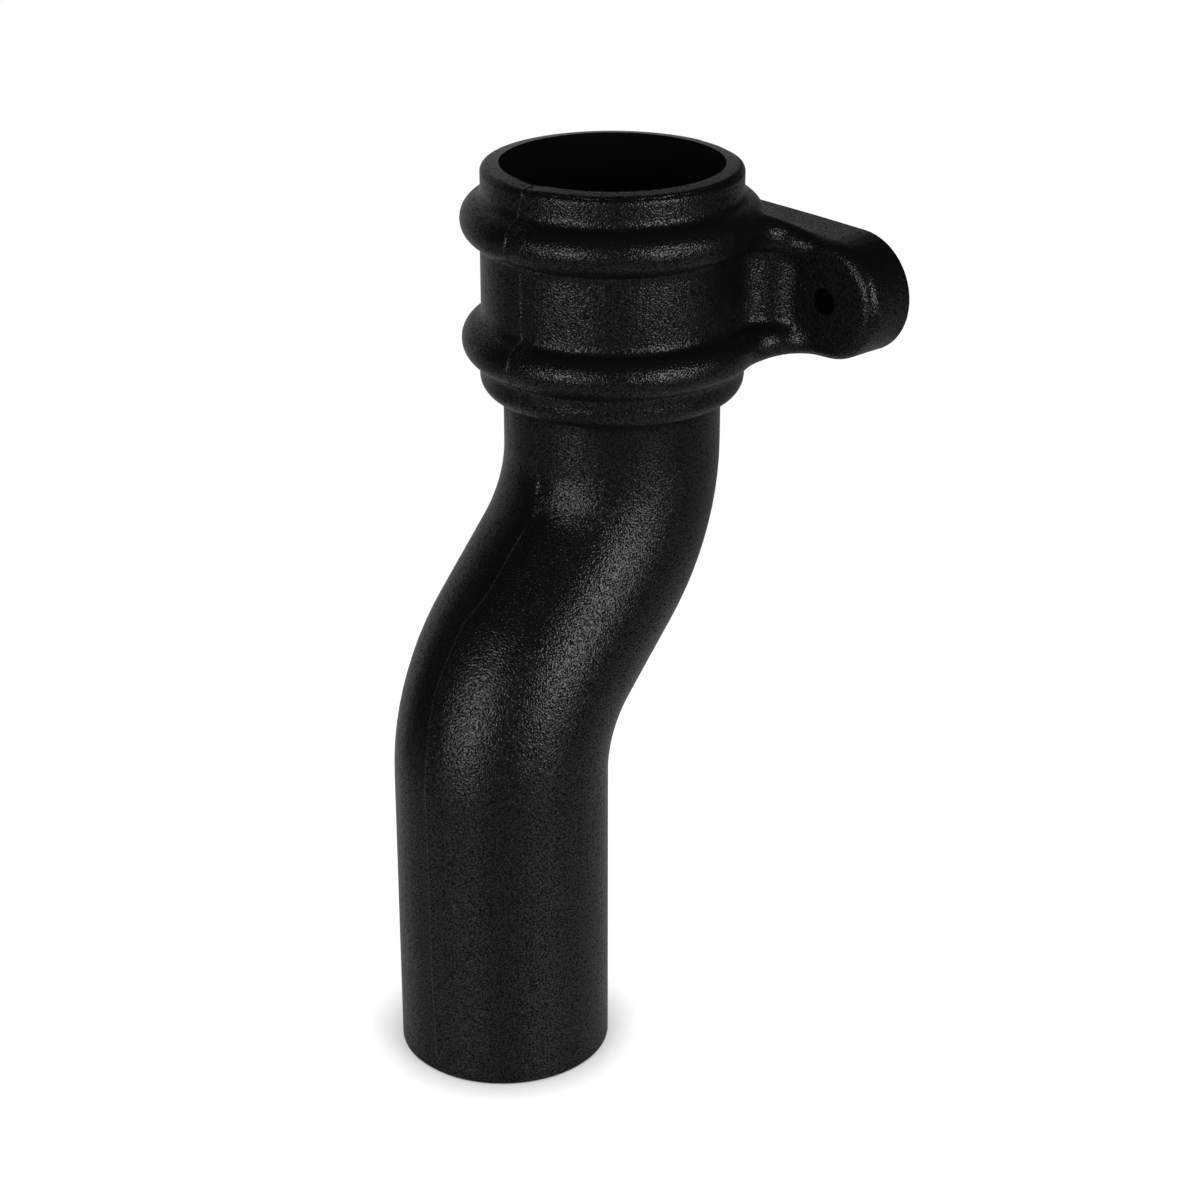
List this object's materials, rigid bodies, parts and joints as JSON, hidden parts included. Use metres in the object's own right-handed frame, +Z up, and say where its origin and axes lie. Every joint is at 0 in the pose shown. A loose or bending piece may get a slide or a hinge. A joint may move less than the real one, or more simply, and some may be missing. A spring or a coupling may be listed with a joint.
{
  "type": "downpipe plinth offset",
  "caption": "Short swan-necked drainpipe piece with a ringed socket and screw ears, which carries a round downpipe out over a plinth.",
  "frame": {"origin": "centre of the spigot's foot, the lowest point of the piece", "axes": "+Z up along the spigot and the socket, X along the wall, +Y towards the wall"},
  "size_m": [0.156, 0.133, 0.285],
  "materials": {
    "body": "near-black with a fine pebbled cast-iron grain, satin"
  },
  "bodies": {
    "root": {"plinth_offset": "body"}
  },
  "joints": []
}
